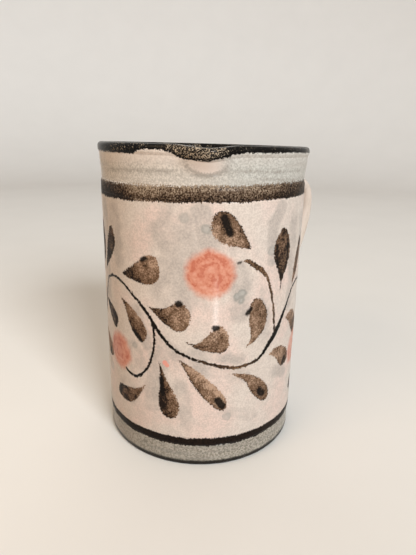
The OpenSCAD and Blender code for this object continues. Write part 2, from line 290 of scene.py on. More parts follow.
# Edges of the coats. The inner edge of the glaze wanders: depth, waves in one turn, and start
SHOULDER_FEATHER = 1.4
FOOT_FEATHER = 0.8
GLAZE_OUTER_FEATHER_SHARE = 0.5
GLAZE_INNER_FEATHER = 1.5
INNER_EDGE_RISE = 0.9
INNER_EDGE_WAVES = [(0.5, 3, 0), (0.3, 7, 40)]
# Skin of the satin glaze, and how a brush draws out the noise of its edges
SKIN_STRENGTH, SKIN_DEPTH = 0.35, 0.12
BRISTLES = (1.0, 1.0, 0.4)
# Joining slip: reach of its fillet over the wall and up the strap, and how its edge and back are let in
FILLET_OUT, FILLET_UP = 1.5, 2.0
SLIP_EDGE_SINK = 0.05
SLIP_BACK_SINK = 0.4
SLIP_BACK_INSET = 0.3
SLIP_UNDER_STRAP = 0.8
SLIP_RISE_SHARE = 0.6

# Grids of the pieces. Rings that end on the axis stop just short of it
TURNED_COLUMNS = 360
GROUND_COLUMNS, GROUND_ROWS = 560, 172
NECK_ROWS, RIM_ROWS, INNER_ROWS = 33, 8, 96
NECK_OVERLAP = 2.0
GLAZE_OUTER_ROWS, GLAZE_RIM_ROWS, GLAZE_INNER_ROWS, GLAZE_BACK_ROWS = 11, 10, 14, 4
BAND_ROWS = 14
UNDER_ROWS, FOOT_ROWS, SIDE_ROWS, FLOOR_ROWS = 19, 12, 8, 60
COIL_ROWS = 20
AXIS_GAP = 0.4
STRAP_COLUMNS, STRAP_RINGS = 72, 110
SLIP_COLUMNS, SLIP_ROWS, SLIP_STEPS = 96, 10, 8
STAGE_COLUMNS, SWEEP_ROWS = 64, 10


def colour(*display):
    """A display colour of 0 to 255, as the linear values that shaders take."""
    share = np.array(display) / 255
    linear = np.where(share <= 0.04045, share / 12.92, ((share + 0.055) / 1.055) ** 2.4)
    return (*linear, 1.0)


def smooth(share):
    """0 to 1 with a soft start and end."""
    s = np.clip(share, 0.0, 1.0)
    return s * s * (3 - 2 * s)


def wrapped(value, turn=360):
    """The same place on a circle, within half a turn of zero."""
    return (value + turn / 2) % turn - turn / 2


def from_front(bearing):
    """Degrees from the front line, between -180 and 180."""
    return wrapped(bearing - FRONT_BEARING)


def lip_swell(bearing):
    """How strongly the pouring lip is pulled at a bearing."""
    away = np.abs(wrapped(bearing - LIP_BEARING))
    return np.where(away < LIP_HALF_TURN, np.cos(np.radians(90 * away / LIP_HALF_TURN)) ** 2, 0.0)


def unevenness(bearing, z):
    """Slight out-of-round and turning waves of the thrown wall, still at the rim and the foot."""
    angle = np.radians(bearing)
    wave = sum(depth * np.sin(turns * angle + rise * z + start) for depth, turns, rise, start in WALL_WAVES)
    return wave * smooth(z / SEAM_Z) * smooth((RIM_Z - z) / FLARE_HEIGHT)


def rim_sink(bearing):
    """How far the rim, cut by hand, lies below its level."""
    angle = np.radians(from_front(bearing))
    return RIM_SINK_BACK * (1 - np.cos(angle)) / 2 + RIM_SINK_RIGHT * (1 + np.sin(angle)) / 2


def round_points(radius, angle, z):
    """Points at a radius, an angle in radians and a height."""
    return np.stack(np.broadcast_arrays(radius * np.cos(angle), radius * np.sin(angle), z), axis=-1)


def wall_points(bearing, radius, z):
    """Points of the turned profile, drawn out and down where the lip is pulled."""
    pull = lip_swell(bearing) * smooth((z - LIP_Z) / LIP_HEIGHT)
    neck = smooth((z - SHOULDER_TOP) / FLARE_HEIGHT)
    out = radius + RIM_FLARE * neck + LIP_REACH * pull + unevenness(bearing, z)
    return round_points(out, np.radians(bearing), z - LIP_DIP * pull - rim_sink(bearing) * neck)


def inside_radius(z):
    """Inside of the wall, which thins towards the rim."""
    thinning = (WALL_THICKNESS - RIM_THICKNESS) * smooth((z - SHOULDER_TOP) / FLARE_HEIGHT)
    return RADIUS - WALL_THICKNESS + thinning


def bearings(columns):
    """Bearing of each column of a closed piece."""
    return np.arange(columns) * 360 / columns


def all_round(values, columns=TURNED_COLUMNS):
    """A value for each row, the same in every column."""
    return np.repeat(np.asarray(values, dtype=float)[:, None], columns, axis=1)


def profile(*parts, columns=TURNED_COLUMNS):
    """Radius and height over rows and columns, from the parts of a turned profile in order."""
    rows = [np.broadcast_arrays(*np.atleast_1d(radius, z)) for radius, z in parts]
    return [all_round(np.concatenate(values), columns) for values in zip(*rows)]


def from_row(z, first):
    """1 from a row on and 0 before it."""
    return all_round(np.arange(len(z)) >= first, z.shape[1])


def thrown_spiral(distance, pitch):
    """A spiral wave between -1 and 1, for a distance in each row."""
    return np.sin(2 * math.pi * (distance[:, None] / pitch + bearings(TURNED_COLUMNS) / 360))


def grid_faces(rows, columns, closed_rows):
    """Quads over a grid whose columns close on themselves."""
    last = rows if closed_rows else rows - 1
    row, column = np.meshgrid(np.arange(last), np.arange(columns), indexing="ij")
    below, above = row * columns, (row + 1) % rows * columns
    beside = (column + 1) % columns
    corners = [below + column, below + beside, above + beside, above + column]
    return np.stack(corners, axis=-1).reshape(-1, 4).tolist()


def linked_object(name, data):
    """A new object of the scene."""
    made = bpy.data.objects.new(name, data)
    scene.collection.objects.link(made)
    return made


def shaded_object(name, points, faces, material):
    """A smooth mesh, given in millimetres."""
    mesh = bpy.data.meshes.new(name)
    mesh.from_pydata((points.reshape(-1, 3) * MM).tolist(), [], faces)
    mesh.polygons.foreach_set("use_smooth", [True] * len(mesh.polygons))
    mesh.materials.append(material)
    return linked_object(name, mesh)


def add_piece(name, points, faces, material, replaced, fields=None):
    """One mesh with its painted fields, which stands for a CAD node."""
    piece = shaded_object(name, points, faces, material)
    for field, values in (fields or {}).items():
        layer = piece.data.attributes.new(field, "FLOAT", "POINT")
        layer.data.foreach_set("value", np.asarray(values, dtype=np.float32).ravel())
    piece.data.update()
    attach(piece, "root")
    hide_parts(replaced)


class Nodes:
    """Short calls that add nodes to one material or world and give back their outputs."""

    def __init__(self, owner, shader="Principled BSDF"):
        owner.use_nodes = True
        self.owner = owner
        self.tree = owner.node_tree
        self.shader = self.tree.nodes[shader]

    def add(self, kind):
        return self.tree.nodes.new("ShaderNode" + kind)

    def put(self, socket, value):
        """Links or sets a socket. A colour of three numbers is a display colour, one of four is linear."""
        if isinstance(value, bpy.types.NodeSocket):
            self.tree.links.new(value, socket)
        elif socket.type == "RGBA" and len(value) == 3:
            socket.default_value = colour(*value)
        else:
            socket.default_value = value

    def give(self, name, value):
        """Links or sets an input of the shader."""
        self.put(self.shader.inputs[name], value)

    @cached_property
    def place(self):
        """Place on the part, in millimetres."""
        return self.scaled(self.add("TexCoord").outputs["Object"], (1 / MM,) * 3)

    @cached_property
    def height(self):
        """Height on the part, in millimetres."""
        return self.along(self.place, (0.0, 0.0, 1.0))

    def calculate(self, kind, operation, first, second):
        node = self.add(kind)
        node.operation = operation
        self.put(node.inputs[0], first)
        self.put(node.inputs[1], second)
        return node.outputs

    def scaled(self, vector, factors):
        return self.calculate("VectorMath", "MULTIPLY", vector, factors)["Vector"]

    def along(self, place, direction):
        """How far a place lies along a direction."""
        return self.calculate("VectorMath", "DOT_PRODUCT", place, direction)["Value"]

    def math(self, operation, first, second=0.0):
        return self.calculate("Math", operation, first, second)[0]

    def total(self, *values):
        return reduce(lambda first, second: self.math("ADD", first, second), values)

    def product(self, first, second):
        return self.math("MULTIPLY", first, second)

    def largest(self, *values):
        return reduce(lambda first, second: self.math("MAXIMUM", first, second), values)

    def seen(self):
        """1 for rays of the eye and of reflections, 0 for rays that carry light."""
        rays = self.add("LightPath").outputs
        return self.largest(rays["Is Camera Ray"], rays["Is Glossy Ray"], rays["Is Transmission Ray"])

    def field(self, name):
        """A painted field of the mesh, 0 where the mesh has none."""
        node = self.add("Attribute")
        node.attribute_name = name
        return node.outputs["Fac"]

    def noise(self, size, detail=2.0, stretch=None):
        """Cloudy noise of about that size, between 0 and 1. A small stretch factor draws it out that way."""
        node = self.add("TexNoise")
        self.put(node.inputs["Vector"], self.scaled(self.place, stretch) if stretch else self.place)
        self.put(node.inputs["Scale"], 1 / size)
        self.put(node.inputs["Detail"], detail)
        return node.outputs["Fac"]

    def grain(self, size, stretch=None):
        """Sharp salt-and-pepper grain between 0 and 1."""
        return self.ramp(self.noise(size, 3.0, stretch), 0.36, 0.64)

    def wander(self, size, reach, detail=2.0, stretch=None):
        """Noise about 0, at most half the reach to each side."""
        return self.product(self.math("SUBTRACT", self.noise(size, detail, stretch), 0.5), reach)

    def uneven(self, value, *noises):
        """A value that wanders by noises, each given by its size, reach, and any detail and stretch."""
        return self.total(value, *(self.wander(*noise) for noise in noises))

    def ramp(self, value, low, high, to_high=1.0, to_low=0.0, way="SMOOTHSTEP"):
        """Runs from to_low to to_high while value runs from low to high, with soft ends or LINEAR."""
        node = self.add("MapRange")
        node.interpolation_type = way
        for socket, setting in zip(node.inputs, (value, low, high, to_low, to_high)):
            self.put(socket, setting)
        return node.outputs[0]

    def blend(self, share, low, high, *ramp):
        """The colour low where share is 0 and high where it is 1, after any ramp of the share."""
        node = self.add("Mix")
        node.data_type = "RGBA"
        for index, value in ((0, self.ramp(share, *ramp) if ramp else share), (6, low), (7, high)):
            self.put(node.inputs[index], value)
        return node.outputs[2]

    def tones(self, depth, light, middle, dark):
        """Three colours, for depths of about -0.4, 0.5 and 1."""
        half = self.blend(depth, light, middle, -0.45, 0.5)
        return self.blend(depth, half, dark, 0.45, 1.05)

    def bump(self, height):
        """Fine relief of the skin."""
        node = self.add("Bump")
        self.put(node.inputs["Strength"], SKIN_STRENGTH)
        self.put(node.inputs["Distance"], SKIN_DEPTH * MM)
        self.put(node.inputs["Height"], height)
        self.give("Normal", node.outputs[0])


def neck_ground(nodes, salt, turned):
    """Pale grey neck with turning lines. Its tint is painted light: cooler grey to the right as the camera
    sees it, where the key light falls, and a warmer cream over the upper neck, strongest to the left, where
    warm light falls. Under the lip, the throat is painted lighter to cancel the lip's shadow.
    """
    right = nodes.uneven(nodes.along(nodes.place, tuple(photo_axes()[0])), (5, 14))
    plain = nodes.blend(salt, (186, 180, 171), (219, 213, 204))
    # Painted light: the cooler colour of the side that the key light falls on
    cool = nodes.blend(salt, (174, 173, 166), (206, 206, 199))
    neck = nodes.blend(right, plain, cool, -8, 14)
    neck = nodes.blend(turned, neck, (184, 180, 172), 0.45, 0.7, 0.4)
    high = nodes.ramp(nodes.uneven(nodes.height, (3, 4)), SHOULDER_TOP + 4.5, SHOULDER_TOP + 8.5)
    # Painted light: warmer tint, strongest to the left, where warm light falls
    warm = nodes.product(high, nodes.ramp(right, -8, 10, 0.12, 0.5))
    neck = nodes.blend(warm, neck, (232, 219, 209))
    # Painted light: the throat under the lip is lightened to cancel the lip's shadow
    neck = nodes.blend(nodes.field("throat"), neck, (251, 239, 229), 0, 1, 0.92)
    line = nodes.uneven(nodes.field("neck_line"), (0.6, 0.6), (3, 0.5))
    return nodes.blend(line, neck, (146, 140, 131), 0.32, 0.7, 0.58)


def foot_ground(nodes, turned):
    """Grey speckled foot with a dark lower edge: partly the dark bare clay of the foot, partly a painted
    contact shadow where the foot curves under.
    """
    flecks = nodes.grain(0.6, (0.8, 0.8, 1))
    foot = nodes.blend(flecks, (128, 123, 112), (186, 180, 168))
    foot = nodes.blend(turned, foot, (142, 141, 134), 0.4, 0.66, 0.6)
    # Dark lower edge: partly bare dark clay, partly painted contact shadow
    edge = nodes.uneven(nodes.height, (0.6, 0.6), (6, 1))
    return nodes.blend(edge, (20, 16, 13), foot, 1.7, 2.8)


def clay_ground(nodes):
    """Bare zones by height: grey foot, cream-pink ground and pale grey neck."""
    salt = nodes.grain(0.55)
    turned = nodes.noise(1.6, 3, (0.04, 0.04, 1))
    cream = nodes.blend(nodes.noise(16, 3), (222, 212, 202), (230, 210, 200), 0.42, 0.66)
    cream = nodes.blend(nodes.noise(2.6, 4), cream, (206, 196, 187), 0.4, 0.72, 0.45)
    cream = nodes.blend(salt, cream, (168, 155, 144), 0, 1, 0, 0.3)
    above = nodes.ramp(nodes.height, SHOULDER_LOW, SHOULDER_TOP)
    below = nodes.ramp(nodes.height, FOOT_LINE_LOW, FOOT_LINE_TOP)
    upper = nodes.blend(above, cream, neck_ground(nodes, salt, turned))
    return nodes.blend(below, foot_ground(nodes, turned), upper)


def grey_washes(nodes, under):
    """Thin grey wash and watery blots that were brushed round the leaves."""
    wash = nodes.uneven(nodes.field("wash"), (5, 1.8, 4), (0.8, 0.35))
    thin = nodes.blend(nodes.grain(0.6), (174, 165, 158), (194, 185, 176))
    washed = nodes.blend(wash, under, thin, 0.1, 1.05, 0.9)
    blot = nodes.uneven(nodes.field("blot"), (0.6, 0.1), (1.8, 0.3))
    pool = nodes.blend(blot, (144, 145, 139), (176, 174, 168), 0.5, 0.7)
    share = nodes.product(nodes.ramp(blot, 0.43, 0.57), nodes.field("blot_tone"))
    return nodes.blend(share, washed, pool)


def leaf_strokes(nodes, under):
    """Grainy brown leaves, darker towards one side and along its edge where the pigment gathered."""
    lean = nodes.field("leaf_lean")
    edge = nodes.uneven(nodes.field("leaf"), (0.55, 0.32), (2.4, 0.08))
    depth = nodes.total(nodes.field("tone"), nodes.ramp(lean, 0, 1, 0.6, -0.5))
    depth = nodes.uneven(depth, (0.5, 2.2), (3, 1.9, 3))
    brown = nodes.tones(depth, (186, 158, 135), (112, 88, 69), (28, 20, 16))
    side = nodes.ramp(nodes.uneven(lean, (4, 1.2)), 0.42, 0.62)
    gathered = nodes.product(nodes.ramp(edge, 0.5, 0.61, 0, 0.9), side)
    brown = nodes.blend(gathered, brown, (34, 24, 18))
    mask = nodes.ramp(edge, 0.485, 0.525)
    return nodes.blend(mask, under, brown), mask


def bloom_rounds(nodes, under):
    """Round coral blossoms, brushed round and round and thin at the edge, and the coral buds."""
    bloom = nodes.uneven(nodes.field("bloom"), (0.7, 0.06), (4, 0.16))
    path = nodes.uneven(bloom, (1.2, 0.08), (5, 0.3))
    rings = nodes.math("SINE", nodes.product(path, 40))
    hairs = nodes.uneven(nodes.noise(0.9, 3), (4, 1.2))
    swirl = nodes.ramp(nodes.total(hairs, nodes.product(rings, 0.13)), 0.1, 0.9)
    coral = nodes.tones(swirl, (226, 172, 150), (209, 136, 110), (190, 104, 78))
    opened = nodes.blend(bloom, under, coral, 0.45, 0.64, 0.96)
    bud = nodes.uneven(nodes.field("bud"), (0.6, 0.2))
    return nodes.blend(bud, opened, (232, 158, 142), 0.46, 0.58, 0.9)


def vine_strokes(nodes, under):
    """Near-black brush lines that break up to brown where the brush ran dry."""
    edge = nodes.uneven(nodes.field("vine"), (0.8, 0.5), (2, 0.14))
    dry = nodes.uneven(nodes.field("dryness"), (5, 0.8))
    brown = nodes.blend(nodes.grain(0.6), (66, 48, 36), (134, 106, 82))
    line = nodes.blend(dry, (18, 13, 10), brown, 0.2, 0.9)
    mask = nodes.ramp(edge, 0.46, 0.54)
    return nodes.blend(mask, under, line), mask


def dark_touches(nodes, under):
    """Near-black touches of the loaded brush."""
    edge = nodes.uneven(nodes.field("touch"), (0.6, 0.3), (1.6, 0.2))
    mask = nodes.ramp(edge, 0.38, 0.66, 0.96)
    return nodes.blend(mask, under, (17, 13, 11)), mask


def shoulder_band(nodes, under):
    """Brown shoulder band with a dissolving upper and a toothed lower edge."""
    level = nodes.math("SUBTRACT", nodes.height, nodes.field("rise"))
    low = nodes.uneven(level, (0.5, 2, 2, BRISTLES), (9, 0.8))
    top = nodes.uneven(level, (0.5, 3.6), (9, 1))
    pressed = nodes.ramp(level, SHOULDER_LOW - 0.3, SHOULDER_LOW + 3.4, -0.16, 0.45)
    # Brush darkness from the table, which also carries a painted reflection on the band
    depth = nodes.total(nodes.field("brush_load_and_reflection"), pressed)
    depth = nodes.uneven(depth, (0.5, 3.6, 3), (2, 1, 3))
    brown = nodes.tones(depth, (160, 144, 124), (88, 71, 57), (25, 18, 13))
    above = nodes.ramp(low, SHOULDER_LOW - 0.6, SHOULDER_LOW - 0.3)
    below = nodes.ramp(top, SHOULDER_TOP, SHOULDER_TOP + 0.6, 0, 1)
    mask = nodes.product(above, below)
    return nodes.blend(mask, under, brown), mask


def foot_line(nodes, under):
    """Near-black line round the foot."""
    level = nodes.uneven(nodes.height, (0.6, 1.6, 2, BRISTLES), (7, 0.8))
    above = nodes.ramp(level, FOOT_LINE_LOW - 0.5, FOOT_LINE_LOW - 0.1)
    below = nodes.ramp(level, FOOT_LINE_TOP, FOOT_LINE_TOP + 0.4, 0, 1)
    black = nodes.blend(nodes.grain(0.6), (14, 10, 8), (34, 24, 18))
    mask = nodes.product(above, below)
    return nodes.blend(mask, under, black), mask


def inner_glaze(nodes, under):
    """Pale cloudy glaze of the inside, with fine specks."""
    pale = nodes.blend(nodes.noise(11, 3), (208, 198, 184), (221, 209, 196), 0.35, 0.65)
    specks = nodes.ramp(nodes.noise(0.7, 3), 0.66, 0.74, 0.7)
    return nodes.blend(nodes.field("inside"), under, nodes.blend(specks, pale, (140, 122, 102)))


def rim_dip(nodes, under):
    """Dark glossy glaze of the rim, which breaks to fine tan specks where it is thin."""
    glaze = nodes.field("glaze")
    edge = nodes.uneven(glaze, (0.6, 0.26), (2.5, 0.12))
    thin = nodes.uneven(nodes.field("thin"), (5, 1.2))
    pooled = nodes.ramp(glaze, 0.5, 0.68, 0.02, -0.13)
    clusters = nodes.uneven(nodes.noise(0.4, 3), (1.7, 0.2))
    lifted = nodes.total(clusters, nodes.ramp(thin, 0, 1.2, 0.12, -0.14), pooled)
    dark = nodes.blend(lifted, (11, 9, 8), (186, 170, 148), 0.52, 0.7)
    mask = nodes.ramp(edge, 0.48, 0.53)
    return nodes.blend(mask, under, dark), mask


def satin_glaze(nodes, gloss):
    """Clear satin glaze over the slip."""
    nodes.give("Coat Weight", gloss)
    nodes.give("Specular IOR Level", 0.06)
    nodes.give("Coat Roughness", 0.13)
    nodes.give("Coat IOR", 1.5)


def coated_material():
    """Painted and glazed clay of the body: the same coats on every piece, so that no seam shows."""
    nodes = Nodes(bpy.data.materials.new("glazed_clay"))
    paint = grey_washes(nodes, clay_ground(nodes))
    paint, leaf_mask = leaf_strokes(nodes, paint)
    paint = bloom_rounds(nodes, paint)
    paint, vine_mask = vine_strokes(nodes, paint)
    paint, touch_mask = dark_touches(nodes, paint)
    paint, shoulder_mask = shoulder_band(nodes, paint)
    paint, foot_mask = foot_line(nodes, paint)
    paint, glaze_mask = rim_dip(nodes, inner_glaze(nodes, paint))
    specks = nodes.ramp(nodes.noise(0.9), 0.72, 0.78, 0.5)
    nodes.give("Base Color", nodes.blend(specks, paint, (120, 102, 84)))
    stained = nodes.largest(leaf_mask, shoulder_mask, foot_mask)
    dull = nodes.largest(stained, vine_mask, touch_mask)
    rough = nodes.ramp(nodes.noise(3), 0.3, 0.7, 0.46, 0.34)
    rough = nodes.total(rough, nodes.product(stained, 0.08))
    nodes.give("Roughness", nodes.ramp(glaze_mask, 0, 1, 0.24, rough))
    nodes.bump(nodes.total(nodes.noise(1.4, 3), nodes.product(stained, 0.25)))
    gloss = nodes.ramp(dull, 0, 1, 0.05, 0.5)
    satin_glaze(nodes, nodes.ramp(glaze_mask, 0, 1, 0.1, gloss))
    return nodes.owner


def pale_slip_material():
    """Pale brushed slip of the handle and its joints."""
    nodes = Nodes(bpy.data.materials.new("pale_slip"))
    streaks = nodes.noise(1.6, 4, (0.5, 1.6, 0.3))
    slip = nodes.blend(nodes.noise(9, 3), (222, 209, 197), (212, 199, 186), 0.35, 0.65)
    slip = nodes.blend(streaks, slip, (186, 176, 163), 0.45, 0.75, 0.5)
    specks = nodes.ramp(nodes.noise(0.8), 0.68, 0.75, 0.6)
    nodes.give("Base Color", nodes.blend(specks, slip, (128, 108, 88)))
    nodes.give("Roughness", nodes.ramp(streaks, 0.3, 0.7, 0.46, 0.34))
    nodes.bump(nodes.noise(1.6, 3))
    satin_glaze(nodes, 0.6)
    return nodes.owner


def floor_material():
    """Plain floor, pale to the eye and in reflections, that throws only a little warm light back."""
    nodes = Nodes(bpy.data.materials.new("pale_floor"))
    seen = nodes.seen()
    pale = nodes.blend(nodes.noise(60), (228, 227, 224), (233, 232, 229))
    nodes.give("Base Color", nodes.blend(seen, (150, 126, 104), pale))
    nodes.give("Roughness", 0.8)
    nodes.give("Specular IOR Level", 0)
    normal = nodes.add("NewGeometry").outputs["Normal"]
    turned_to_key = nodes.along(normal, tuple(seen_place(*KEY_PLACE).normalized()))
    glow = nodes.ramp(turned_to_key, 0, 0.46, 0.03, 0.42, "LINEAR")
    nodes.give("Emission Strength", nodes.product(seen, glow))
    nodes.give("Emission Color", (243, 241, 238))
    return nodes.owner


def turned_piece(name, radius, z, material, replaced, fields):
    """A closed ring whose profile is given by radius and height for each row and column."""
    points = wall_points(bearings(z.shape[1]), radius, z)
    add_piece(name, points, grid_faces(*z.shape, True), material, replaced, fields)


def by_bearing(table, column, shape):
    """One column of a table that goes by the bearing from the front line, over the columns of a piece."""
    angles, values = np.array(table)[:, [0, column]].T
    return np.broadcast_to(np.interp(from_front(bearings(shape[1])), angles, values), shape)


def shoulder_fields(shape):
    """Brush darkness, with a painted reflection in it, and rise of the shoulder band."""
    return {"brush_load_and_reflection": by_bearing(SHOULDER_STROKE, 1, shape), "rise": by_bearing(SHOULDER_STROKE, 2, shape)}


def glaze_fields(z, inside):
    """How far each point of the rim lies within the glaze, as 0 to 1, and how thin the glaze is there."""
    bearing = bearings(z.shape[1])
    outer_edge = TOP_Z - by_bearing(RIM_GLAZE, 1, z.shape)
    waves = (depth * np.sin(np.radians(turns * bearing + start)) for depth, turns, start in INNER_EDGE_WAVES)
    inner_edge = GLAZE_INSIDE_Z + INNER_EDGE_RISE + sum(waves)
    depth = z - np.where(inside > 0.5, inner_edge, outer_edge)
    glaze = np.clip(0.5 + depth / (2 * GLAZE_REACH), 0.0, 1.0)
    return {"inside": inside, "glaze": glaze, "thin": by_bearing(RIM_GLAZE, 2, z.shape)}


def rim_profile(coat, count):
    """Rounded edges of the rim from the outside to the inside, raised by a coat, as radius and height."""
    arc = np.radians(np.concatenate([np.linspace(0, 90, count), np.linspace(90, 180, count)]))
    centre = np.repeat([RIM_OUTER_CENTRE, RIM_INNER_CENTRE], count)
    reach = RIM_ROUNDING + coat
    return centre + reach * np.cos(arc), RIM_Z + reach * np.sin(arc)


def make_wall(material):
    """Thrown wall: plain under the coats, with finger ridges inside."""
    neck = np.linspace(SHOULDER_TOP - NECK_OVERLAP, RIM_Z, NECK_ROWS, endpoint=False)
    inner = np.linspace(RIM_Z, SEAM_Z, INNER_ROWS)[1:]
    radius, z = profile(
        (RADIUS, SEAM_Z), (RADIUS, neck), rim_profile(0.0, RIM_ROWS), (inside_radius(inner), inner)
    )
    ridge = FINGER_DEPTH * smooth((inner - COIL_TOP) / FINGER_PITCH) * smooth((RIM_Z - inner) / FINGER_PITCH)
    radius[-len(inner):] += ridge[:, None] * thrown_spiral(inner, FINGER_PITCH)
    lines = Painting(neck, TURNED_COLUMNS, LINE_REACH)
    for points in NECK_LINES:
        lines.stroke(curve_through(points, NECK_STEP))
    neck_line = np.zeros_like(z)
    neck_line[1:1 + NECK_ROWS] = lines.field()
    # Painted light under the pouring lip, which cancels the lip's shadow on the throat
    throat_light_edge = LIP_Z + THROAT_GAP / 2
    throat = lip_swell(bearings(TURNED_COLUMNS)) ** 2 * smooth((z - throat_light_edge) / THROAT_GAP)
    fields = {"neck_line": neck_line, "throat": throat, **shoulder_fields(z.shape)}
    fields.update(glaze_fields(z, from_row(z, 1 + NECK_ROWS + RIM_ROWS)))
    turned_piece("thrown_wall", radius, z, material, "wall", fields)


def make_rim_glaze(material):
    """Coat of glaze over the rim, thinning out at both edges."""
    outer = np.linspace(0, 1, GLAZE_OUTER_ROWS, endpoint=False)
    inner = np.linspace(RIM_Z, GLAZE_INSIDE_Z, GLAZE_INNER_ROWS)[1:]
    thin_outer = COAT * smooth(outer / GLAZE_OUTER_FEATHER_SHARE)
    thin_inner = COAT * smooth((inner - GLAZE_INSIDE_Z) / GLAZE_INNER_FEATHER)
    radius, z = profile(
        (RADIUS + thin_outer, RIM_Z), rim_profile(COAT, GLAZE_RIM_ROWS),
        (inside_radius(inner) - thin_inner, inner), (inside_radius(GLAZE_INSIDE_Z) + COAT, GLAZE_INSIDE_Z),
        (rows[::-1] for rows in rim_profile(-COAT, GLAZE_BACK_ROWS)), (RADIUS - COAT, RIM_Z),
    )
    low = TOP_Z - GLAZE_REACH - lip_swell(bearings(TURNED_COLUMNS))
    z[:GLAZE_OUTER_ROWS] = low + (RIM_Z - low) * outer[:, None]
    z[-1] = low
    fields = glaze_fields(z, from_row(z, GLAZE_OUTER_ROWS + GLAZE_RIM_ROWS))
    turned_piece("rim_glaze_coat", radius, z, material, "rim_glaze", fields)


def make_band(name, low, top, thin_low, thin_top, material, replaced):
    """A thin brushed coat that feathers out at the edges that show."""
    z = np.linspace(low, top, BAND_ROWS)
    coat = np.full_like(z, COAT)
    if thin_low:
        coat *= smooth((z - low) / thin_low)
    if thin_top:
        coat *= smooth((top - z) / thin_top)
    radius, z = profile((RADIUS + coat, z), (RADIUS - COAT, [top, low]))
    turned_piece(name, radius, z, material, replaced, shoulder_fields(z.shape))


class Painting:
    """Distance from the nearest brush stroke over the unrolled wall, negative inside strokes."""

    def __init__(self, levels, columns, reach):
        self.levels = levels
        self.reach = reach
        self.along = from_front(bearings(columns)) / 360 * GIRTH
        self.away = np.full((len(levels), columns), FAR)
        self.tone = np.zeros_like(self.away)
        self.lean = np.zeros_like(self.away)

    def window(self, middle, size):
        """Rows and columns within the field's reach of a mark, and where they lie from its middle."""
        across = wrapped(self.along - middle[0], GIRTH)
        up = self.levels - middle[1]
        rows, columns = (np.flatnonzero(np.abs(away) < size + self.reach) for away in (up, across))
        places = np.stack(np.meshgrid(across[columns], up[rows]), axis=-1)
        return np.ix_(rows, columns), places

    def lay(self, window, away, tone, lean):
        """Keeps what lies closer than before."""
        closer = away < self.away[window]
        for layer, values in ((self.tone, tone), (self.lean, lean), (self.away, away)):
            layer[window] = np.where(closer, values, layer[window])

    def stamp(self, middle, radius, tone=0.0):
        """A round touch of the brush."""
        window, places = self.window(middle, radius)
        self.lay(window, np.linalg.norm(places, axis=-1) - radius, tone, 0.0)

    def stroke(self, curve):
        """Touches of the brush in a row, each given by its place, width and any tone."""
        for along, height, width, *tone in curve:
            self.stamp((along, height), width / 2, *tone)

    def straight(self, start, end, width, shift):
        """A short straight stroke."""
        for middle in np.linspace(start, end, STROKE_STAMPS) + shift:
            self.stamp(middle, width / 2)

    def shape(self, outline, tone, contrast, dark_side):
        """A filled shape, with how far each place leans to its dark side."""
        middle = outline.mean(axis=0)
        local = outline - middle
        window, places = self.window(middle, np.abs(local).max())
        angle = math.radians(dark_side)
        heading = np.array([math.cos(angle), math.sin(angle)])
        lean = 0.5 + contrast / 2 * np.clip(places @ heading / (local @ heading).max(), -1.0, 1.0)
        self.lay(window, outline_distance(local, places), tone, lean)

    def field(self):
        """0 outside, 0.5 on the edge of a stroke and 1 deep inside."""
        return np.clip(0.5 - self.away / (2 * self.reach), 0.0, 1.0)


def outline_distance(outline, places):
    """Distance of places from a closed outline, negative inside it."""
    run = np.roll(outline, -1, axis=0) - outline
    offset = places[..., None, :] - outline
    share = np.clip((offset * run).sum(-1) / np.maximum((run ** 2).sum(-1), 1e-9), 0.0, 1.0)
    away = np.linalg.norm(offset - share[..., None] * run, axis=-1).min(-1)
    rise = np.where(run[:, 1] == 0.0, 1e-9, run[:, 1])
    crossed = (offset[..., 1] >= 0) != (offset[..., 1] - run[:, 1] >= 0)
    right_of = offset[..., 0] < offset[..., 1] * run[:, 0] / rise
    inside = (crossed & right_of).sum(-1) % 2 == 1
    return np.where(inside, -away, away)


def curve_through(points, step, closed_by=None):
    """Points along a smooth curve through the given ones, about a step apart; a double point is a corner."""
    knots = list(np.array(points, dtype=float))
    if closed_by is None:
        knots = [2 * knots[0] - knots[1]] + knots + [2 * knots[-1] - knots[-2]]
    else:
        knots = [knots[-1] - closed_by] + knots + [knots[0] + closed_by, knots[1] + closed_by]
    curve = []
    for before, start, end, after in zip(knots, knots[1:], knots[2:], knots[3:]):
        count = max(2, int(np.linalg.norm(end - start) / step))
        for t in np.arange(count) / count:
            curve.append(0.5 * (
                2 * start + (end - before) * t + (2 * before - 5 * start + 4 * end - after) * t ** 2
                + (3 * start - before - 3 * end + after) * t ** 3
            ))
    return np.array(curve)


def on_a_root(middle):
    """Whether the middle of a mark lies where the handle is joined."""
    along = abs(wrapped(middle[0] + GIRTH * FRONT_BEARING / 360, GIRTH))
    return any(
        along < width / 2 + ROOT_MARGIN and abs(middle[1] - level) < thickness / 2 + ROOT_MARGIN
        for level, width, thickness in zip(ROOT_LEVELS, ROOT_WIDTHS, ROOT_THICKNESSES)
    )


def paint_leaf(layers, leaf, shift):
    """One leaf with its dark touches, left out where the handle is joined."""
    tone, contrast, dark_side, points, *touches = leaf
    outline = curve_through(points + points[:1], OUTLINE_STEP) + shift
    if on_a_root(outline.mean(axis=0)):
        return
    layers["leaf"].shape(outline, tone, contrast, dark_side)
    for touch in touches:
        layers["touch"].straight(*touch, shift)


def paint_leaves(layers):
    """The leaves at the joints of the repeats, and those of each repeat."""
    front = np.zeros(2)
    placed = [(RIGHT_JOINT_LEAVES, front), (LEFT_JOINT_LEAVES, front), (LEFT_JOINT_LEAVES, BACK_JOINT_SHIFT)]
    placed += [(LEAVES.values(), shift) for shift in REPEAT_SHIFTS]
    for leaves, shift in placed:
        for leaf in leaves:
            paint_leaf(layers, leaf, shift)


